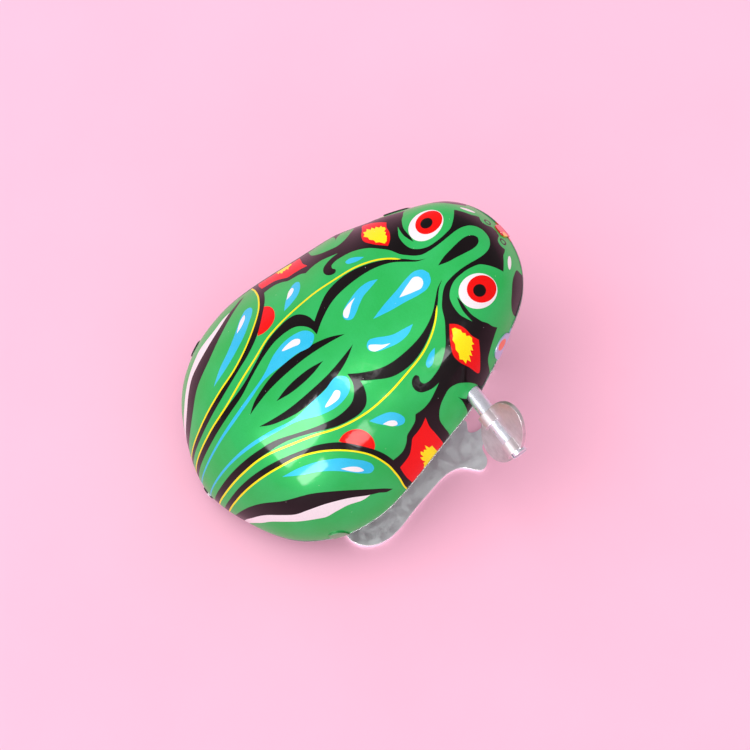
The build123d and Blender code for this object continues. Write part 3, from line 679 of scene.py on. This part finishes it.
def tinplate(name, tone, spangle=0.35, rough=0.30):
    """Bare tinned sheet with a mottled spangle, fine scratches and bright cut edges; the edges'
    brightness is wear and a painted highlight.
    """
    shader = Shader(name)
    mottle = shader.span(shader.noise(0.55, 6.0), 0.35, 0.68)
    patches = shader.span(shader.cells(0.9, 1.0, "Color"), 0.2, 0.8)
    scratch = shader.span(shader.noise(1.0, 4.0, shader.stretched(0.25, 6.0, 6.0)), 0.60, 0.70)
    base = shader.mix(shader.maths("MULTIPLY", mottle, spangle * 1.6), tone, darker(tone, 0.72))
    base = shader.mix(shader.maths("MULTIPLY", patches, spangle * 0.4), base, linear(226, 232, 232))
    base = shader.mix(shader.maths("MULTIPLY", scratch, 0.25), base, linear(240, 240, 236))
    # convex edges painted near-white: wear, and a painted highlight
    edge_wear_and_highlight = shader.maths("MULTIPLY", shader.edge_light(EDGE_RADIUS), 0.7)
    base = shader.mix(edge_wear_and_highlight, base, EDGE_WEAR_AND_HIGHLIGHT)
    waves = shader.bump(shader.noise(0.18, 1.0), 0.12, under=shader.rounded(EDGE_RADIUS))
    roll = shader.bump(shader.noise(1.4, 5.0, shader.stretched(0.3, 3.0, 3.0)), 0.010, under=waves)
    shader.finish(
        Base_Color=base,
        Metallic=0.85,
        Roughness=shader.span(mottle, 0.0, 1.0, rough, rough + 0.18),
        Normal=roll,
    )
    return shader.material


def turned_steel(name, tone, rough=0.28, brushed=(0.2, 8.0, 0.2), shine=0.8):
    """Steel or brass with fine tool marks, and bright edges that are wear and a painted highlight."""
    shader = Shader(name)
    marks = shader.noise(1.6, 5.0, shader.stretched(*brushed))
    stain = shader.span(shader.noise(0.7, 4.0), 0.4, 0.75)
    dark = darker(tone, 0.55)
    base = shader.mix(shader.maths("MULTIPLY", stain, 0.45), tone, dark)
    base = shader.mix(shader.maths("MULTIPLY", shader.span(marks, 0.35, 0.65), 0.18), base, dark)
    # convex edges painted near-white: wear, and a painted highlight
    edge_wear_and_highlight = shader.maths("MULTIPLY", shader.edge_light(EDGE_RADIUS), 0.6)
    base = shader.mix(edge_wear_and_highlight, base, EDGE_WEAR_AND_HIGHLIGHT)
    shader.finish(
        Base_Color=base,
        Metallic=shine,
        Roughness=shader.span(stain, 0.0, 1.0, rough, rough + 0.16),
        Normal=shader.bump(marks, 0.003, under=shader.rounded(EDGE_RADIUS)),
    )
    return shader.material


# printed patches on the tabs: body point, reach in mm and colour
TAB_PRINTS = [
    ((75.0, 0.0, 1.2), 2.6, linear(232, 30, 16)),
    ((75.2, -1.3, 1.6), 0.9, linear(250, 200, 10)),
    ((61.8, -15.2, 1.5), 3.6, linear(168, 176, 214)),
    ((61.9, -15.4, 1.5), 1.3, linear(236, 96, 30)),
    ((61.8, 15.2, 1.5), 3.6, linear(30, 18, 24)),
    ((15.1, -22.5, 1.2), 2.6, linear(40, 160, 84)),
    ((15.1, 22.5, 1.2), 2.6, linear(26, 14, 20)),
    ((0.0, 0.0, 1.2), 2.4, linear(22, 12, 18)),
]


def printed_plate():
    """Base plate: lacquered sheet whose turned-up tabs carry offcuts of the print."""
    shader = Shader("printed_plate")
    mottle = shader.span(shader.noise(0.8, 5.0), 0.35, 0.7)
    base = shader.mix(mottle, linear(112, 122, 118), linear(84, 92, 90))
    for place, reach, colour in TAB_PRINTS:
        spot = to_row(*place) / MM
        ends = {0: shader.place, 1: spot}
        away = shader.make("ShaderNodeVectorMath", {"operation": "DISTANCE"}, ends).outputs["Value"]
        base = shader.mix(shader.span(away, reach + 0.1, reach - 0.1), base, colour)
    # cut edges painted pale and more metallic: bare tin where the lacquer is cut, and a painted
    # highlight
    edge = shader.edge_light(0.10)
    base = shader.mix(shader.maths("MULTIPLY", edge, 0.6), base, linear(225, 228, 226))
    shader.finish(
        Base_Color=base,
        Metallic=shader.span(edge, 0.0, 1.0, 0.25, 1.0),
        Roughness=0.32,
        Coat_Weight=0.7,
        Coat_Roughness=0.08,
        Normal=shader.bump(shader.noise(1.2, 4.0), 0.008, under=shader.rounded(0.08)),
    )
    return shader.material


# ---- the printed back --------------------------------------------------------------------


def inside(points, outline):
    """Which of the points lie inside a closed outline."""
    corners = np.array(outline)
    found = np.zeros(len(points), bool)
    x, y = points[:, 0], points[:, 1]
    for (x0, y0), (x1, y1) in zip(corners, np.roll(corners, -1, axis=0)):
        if y0 == y1:
            continue
        spans = (y0 > y) != (y1 > y)
        found ^= spans & (x < (x1 - x0) * (y - y0) / (y1 - y0) + x0)
    return found


def key_notch():
    """Arch in the rim that passes the key shaft, closed a little beyond the rim."""
    beyond = 1.05
    angles = [pi * k / NOTCH_POINTS for k in range(NOTCH_POINTS + 1)]
    arch = [
        wall_place(MAIN_AXIS[0] + NOTCH_RADIUS * cos(a), MAIN_AXIS[1] + NOTCH_RADIUS * sin(a))
        for a in angles
    ]
    return arch + [rim_place(atan2(v, u - MIDDLE_U), beyond) for u, v in (arch[-1], arch[0])]


def layout_triangles(shapes, notch):
    """Right half of the flat layout, cut along every printed edge."""
    rim = [rim_place(-pi * k / RIM_POINTS) for k in range(RIM_POINTS + 1)]
    rim += [(u, 0.0) for u in range(1, int(BODY_LENGTH))]
    outlines = [outline for _, outline in shapes] + [rim, notch]
    places = []
    edges = []
    for outline in outlines:
        first = len(places)
        places += outline
        loop = list(range(first, len(places)))
        edges += list(zip(loop, loop[1:] + loop[:1]))
    for reach in RING_REACHES:
        places += [rim_place(-pi * k / RING_POINTS, reach) for k in range(1, RING_POINTS)]
    for row in range(1, ceil(max(RIM_RADII) / GRID_STEP)):
        for column in range(int(BODY_LENGTH / GRID_STEP)):
            u = (column + 0.5 * (row % 2)) * GRID_STEP
            v = -row * GRID_STEP * GRID_ROW
            if hypot(u - MIDDLE_U, v) < GRID_REACH * rim_radius(atan2(v, u - MIDDLE_U)):
                places.append((u, v))
    spots = [Vector(place) for place in places]
    spots, _, triangles, *_ = delaunay_2d_cdt(spots, edges, [], 0, 1e-5)
    spots = np.array([tuple(spot) for spot in spots])
    triangles = np.array(triangles)
    middles = spots[triangles].mean(axis=1)
    kept = inside(middles, rim) & (middles[:, 1] < 0)
    return spots, triangles[kept], middles[kept]


def painted_triangles():
    """Places of the whole layout, its triangles, and the number of each triangle's ink."""
    shapes = painted_shapes()
    inks = list(INK_COLOURS)
    notch = key_notch()
    spots, triangles, middles = layout_triangles(shapes, notch)
    paint = np.zeros(len(triangles), int)
    for name, outline in shapes:
        paint[inside(middles, outline)] = inks.index(name)
    slotted = inside(middles, notch)

    used = np.unique(triangles)
    number = {int(old): new for new, old in enumerate(used)}
    right = [tuple(spots[old]) for old in used]
    right = [(u, 0.0) if abs(v) < 1e-4 else (u, v) for u, v in right]
    places = list(right)
    mirrored = []
    for index, (u, v) in enumerate(right):
        if v == 0.0:
            mirrored.append(index)
        else:
            mirrored.append(len(places))
            places.append((u, -v))

    faces = []
    slots = []
    for triangle, colour, cut in zip(triangles, paint, slotted):
        a, b, c = (number[int(corner)] for corner in triangle)
        if not cut:
            faces.append((a, b, c))
            slots.append(int(colour))
        faces.append((mirrored[c], mirrored[b], mirrored[a]))
        slots.append(int(colour))
    return places, faces, slots


def close_sheet(faces, count):
    """Adds the inside, whose points follow the outside's, and the strip along every edge."""
    directed = {(f[i], f[(i + 1) % 3]) for f in faces for i in range(3)}
    lining = [(c + count, b + count, a + count) for a, b, c in faces]
    rims = [(b, a, a + count, b + count) for a, b in sorted(directed) if (b, a) not in directed]
    return faces + lining + rims


def corner_normals(places, faces):
    """Dome normals at every face's corners; a zero leaves the cut edge flat."""
    count = len(places)
    normals = [dome_normal(u, v) for u, v in places]
    corners = []
    for face in faces:
        for corner in face:
            if len(face) == 4:
                corners.append(Vector((0, 0, 0)))
            elif corner < count:
                corners.append(normals[corner])
            else:
                corners.append(-normals[corner - count])
    return corners


def printed_back():
    """The pressed shell: printed outside, bare tin inside and along its edges."""
    places, outside, slots = painted_triangles()
    points = [to_row(*dome(u, v)) for u, v in places]
    points += [to_row(*dome(u, v, -TIN)) for u, v in places]
    faces = close_sheet(outside, len(places))
    bare = len(INK_COLOURS)
    slots += [bare] * (len(faces) - len(outside))

    mesh = bpy.data.meshes.new("printed_back")
    mesh.from_pydata(points, [], faces)
    mesh.polygons.foreach_set("material_index", slots)
    mesh.polygons.foreach_set("use_smooth", [len(face) == 3 for face in faces])
    mesh.update()
    mesh.normals_split_custom_set(corner_normals(places, faces))
    for name, (colour, tint) in INK_COLOURS.items():
        mesh.materials.append(ink(name, colour, tint))
    mesh.materials.append(tinplate("shell_inside_tin", linear(188, 194, 196)))
    back = bpy.data.objects.new("printed_back", mesh)
    bpy.context.scene.collection.objects.link(back)
    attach(back, "frame")
    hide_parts("upper_shell")


# ---- CAD nodes ---------------------------------------------------------------------------


def give(material, *names):
    """Puts one material on CAD nodes that keep their own shape."""
    for name in names:
        mesh = frame["nodes"][name].data
        mesh.materials.clear()
        mesh.materials.append(material)


def dress_frame():
    """Gives every CAD node its own metal."""
    give(printed_plate(), "base_plate")
    give(tinplate("leg_tinplate", linear(236, 244, 245), 0.26, 0.28), "hind_legs")
    give(
        tinplate("front_leg_tinplate", linear(232, 240, 240), 0.26, 0.30),
        "front_leg_left",
        "front_leg_right",
    )
    give(
        tinplate("motor_plate_steel", linear(200, 206, 208), 0.3, 0.32),
        "motor_plate_left",
        "motor_plate_right",
    )
    # the faint pink in the key blade's steel colour is a painted reflection of the pink floor
    give(
        turned_steel("key_blade_steel", linear(206, 196, 200), 0.34, (0.6, 0.6, 2.4), 0.85),
        "key_blade",
    )
    give(
        turned_steel("key_shaft_steel", linear(232, 236, 246), 0.26, (2.4, 0.3, 2.4), 0.85),
        "winding_arbor",
    )
    give(
        turned_steel("pillar_steel", linear(204, 206, 206), 0.25),
        "frame_pillars",
        "leg_pivot_rod",
    )
    give(
        turned_steel("rivet_steel", linear(190, 192, 192), 0.22, (3, 3, 3)),
        "plate_rivets",
        "leg_rivets",
        "click_rivet",
    )
    give(
        turned_steel("wheel_brass", linear(214, 172, 82), 0.26, (5, 0.4, 5)),
        "main_wheel",
        "second_wheel",
    )
    give(
        turned_steel("pinion_steel", linear(150, 152, 154), 0.24, (5, 0.4, 5)),
        "second_arbor",
        "third_arbor",
    )
    give(turned_steel("cam_steel", linear(138, 140, 142), 0.3), "kick_cam", "ratchet_wheel")
    give(
        turned_steel("spring_blue_steel", linear(92, 98, 116), 0.22, (0.3, 6, 0.3)),
        "mainspring",
        "click_spring",
    )
    give(turned_steel("wire_steel", linear(166, 168, 170), 0.2, (4, 4, 4)), "leg_return_spring")


# ---- stage, light and camera -------------------------------------------------------------

CAMERA_HEIGHT = radians(74.0)     # above the horizon
CAMERA_BEARING = radians(36.765)  # of its view, from the frog's left towards its nose
CAMERA_DISTANCE = 0.7             # m
CAMERA_SHIFT = (3.559, -2.023)    # mm right and up from the middle of the rim
CAMERA_LENS = 183.0               # mm
FLOOR_SIZE = 6.0                  # m
FLOOR_COLOUR = linear(253, 189, 214)
FLOOR_TINT = linear(254, 192, 217)
DAYLIGHT = 0.90                   # even light from all round
DAYLIGHT_SEEN = 0.58              # the same light as it shows in reflections
WINDOW_DISTANCE = 0.9             # m from the back
# name, place of the reflection on the layout, width and height in m, and brightness
WINDOWS = [
    ("window_near", (28.6, -5.0), (0.50, 0.50), 19.0),
    ("window_far", (27.5, -9.2), (0.36, 0.16), 25.0),
    ("window_side", (49.8, -8.8), (0.06, 0.20), 19.0),
]
KEY_LIGHT_TARGET = (MIDDLE_U, 0, 10)          # body point
KEY_LIGHT_OFFSET = Vector((-0.3, 0.35, 1.0))  # m from its target
KEY_LIGHT_SIZE = 0.9              # m
KEY_LIGHT_GLOW = 2.1


def build_camera():
    right = Vector((cos(CAMERA_BEARING), -sin(CAMERA_BEARING), 0))
    ahead = Vector((sin(CAMERA_BEARING), cos(CAMERA_BEARING), 0))
    up = ahead * sin(CAMERA_HEIGHT) + Vector((0, 0, cos(CAMERA_HEIGHT)))
    back = -ahead * cos(CAMERA_HEIGHT) + Vector((0, 0, sin(CAMERA_HEIGHT)))
    target = to_row(MIDDLE_U, 0, 0) + (CAMERA_SHIFT[0] * right + CAMERA_SHIFT[1] * up) * MM
    camera = bpy.data.objects.new("camera", bpy.data.cameras.new("camera"))
    camera.data.lens = CAMERA_LENS
    camera.data.clip_start = 0.01
    camera.matrix_world = Matrix.Translation(target + back * CAMERA_DISTANCE) @ Matrix(
        (right, up, back)
    ).transposed().to_4x4()
    bpy.context.scene.collection.objects.link(camera)
    bpy.context.scene.camera = camera
    return camera


def build_floor():
    bpy.ops.mesh.primitive_plane_add(size=FLOOR_SIZE)
    floor = bpy.context.object
    floor.name = "floor"
    shader = Shader("pale_floor")
    cloud = shader.span(shader.noise(0.03, 3.0), 0.3, 0.7)
    fibre = shader.span(shader.noise(2.5, 4.0), 0.3, 0.7)
    tone = shader.mix(cloud, FLOOR_COLOUR, FLOOR_TINT)
    shader.finish(
        Base_Color=tone,
        Roughness=0.85,
        Specular_IOR_Level=0.15,
        Normal=shader.bump(fibre, 0.01, 0.5),
    )
    floor.data.materials.append(shader.material)


def soft_box(name, location, target, width, height, glow):
    """Rectangular light facing a target, its width along the frog; glow is its brightness."""
    light = bpy.data.lights.new(name, "AREA")
    light.shape = "RECTANGLE"
    light.size = width
    light.size_y = height
    light.energy = glow * pi * width * height
    back = (location - target).normalized()
    side = (AHEAD - AHEAD.dot(back) * back).normalized()
    lamp = bpy.data.objects.new(name, light)
    turn = Matrix((side, back.cross(side), back)).transposed().to_4x4()
    lamp.matrix_world = Matrix.Translation(location) @ turn
    bpy.context.scene.collection.objects.link(lamp)
    return lamp


def window(name, camera, place, size, glow):
    """Soft box that shows only as a reflection, at a place on the back seen by the camera."""
    spot = to_row(*dome(*place))
    normal = dome_normal(*place)
    view = (camera.matrix_world.translation - spot).normalized()
    ray = 2 * normal.dot(view) * normal - view
    lamp = soft_box(name, spot + ray * WINDOW_DISTANCE, spot, *size, glow)
    lamp.visible_diffuse = False


def build_light(camera):
    world = bpy.data.worlds.new("studio")
    world.use_nodes = True
    tree = world.node_tree
    background = tree.nodes["Background"]
    background.inputs["Color"].default_value = linear(255, 248, 250)
    path = tree.nodes.new("ShaderNodeLightPath")
    level = tree.nodes.new("ShaderNodeMapRange")
    level.inputs["To Min"].default_value = DAYLIGHT
    level.inputs["To Max"].default_value = DAYLIGHT_SEEN
    tree.links.new(path.outputs["Is Glossy Ray"], level.inputs["Value"])
    tree.links.new(level.outputs[0], background.inputs["Strength"])
    bpy.context.scene.world = world
    for name, seen_at, size, glow in WINDOWS:
        window(name, camera, seen_at, size, glow)
    target = to_row(*KEY_LIGHT_TARGET)
    place = target + KEY_LIGHT_OFFSET
    key = soft_box("key_light", place, target, KEY_LIGHT_SIZE, KEY_LIGHT_SIZE, KEY_LIGHT_GLOW)
    key.visible_glossy = False
    bpy.context.scene.view_settings.view_transform = "Standard"


printed_back()
dress_frame()
camera = build_camera()
build_floor()
build_light(camera)
